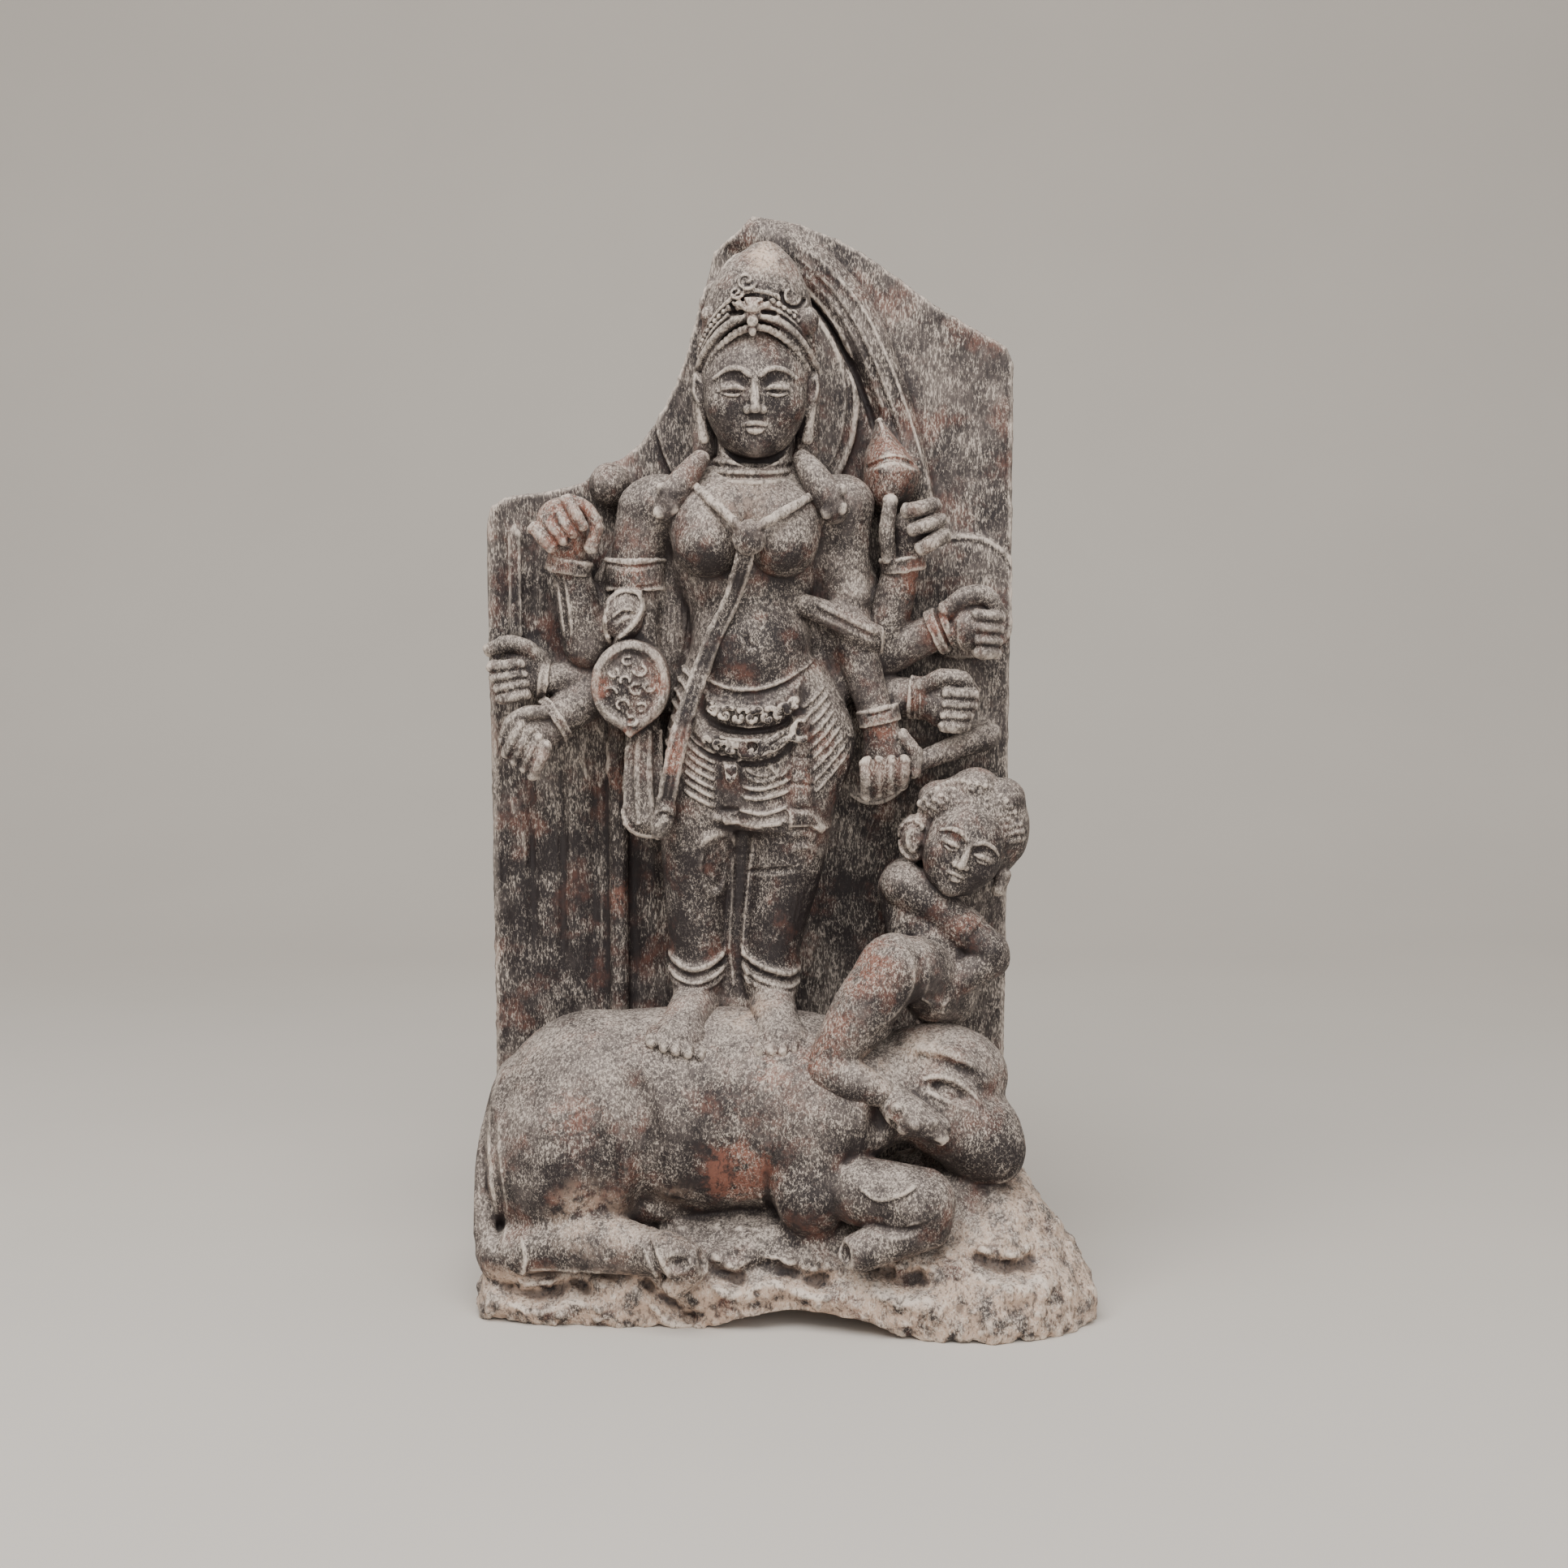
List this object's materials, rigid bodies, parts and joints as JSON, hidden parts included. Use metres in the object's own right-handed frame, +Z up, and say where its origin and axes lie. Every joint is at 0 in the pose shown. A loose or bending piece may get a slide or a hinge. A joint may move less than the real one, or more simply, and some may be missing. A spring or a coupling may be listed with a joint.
{
  "type": "multi-armed deity statue",
  "caption": "Carved stone stele of a multi-armed goddess standing on a fallen buffalo, with a demon beside her, worked in high relief from one block with its back slab and ledge.",
  "frame": {"origin": "middle of the underside of the block, halfway between its sides and between its front and back", "axes": "+Z up, -Y towards the viewer of the carved front, +X to the right of the front view"},
  "size_m": [0.51, 0.27, 0.9],
  "materials": {
    "stone": "matte, weathered dark grey-brown with pale grains"
  },
  "bodies": {
    "root": {"carved_stele": "stone"}
  },
  "joints": []
}
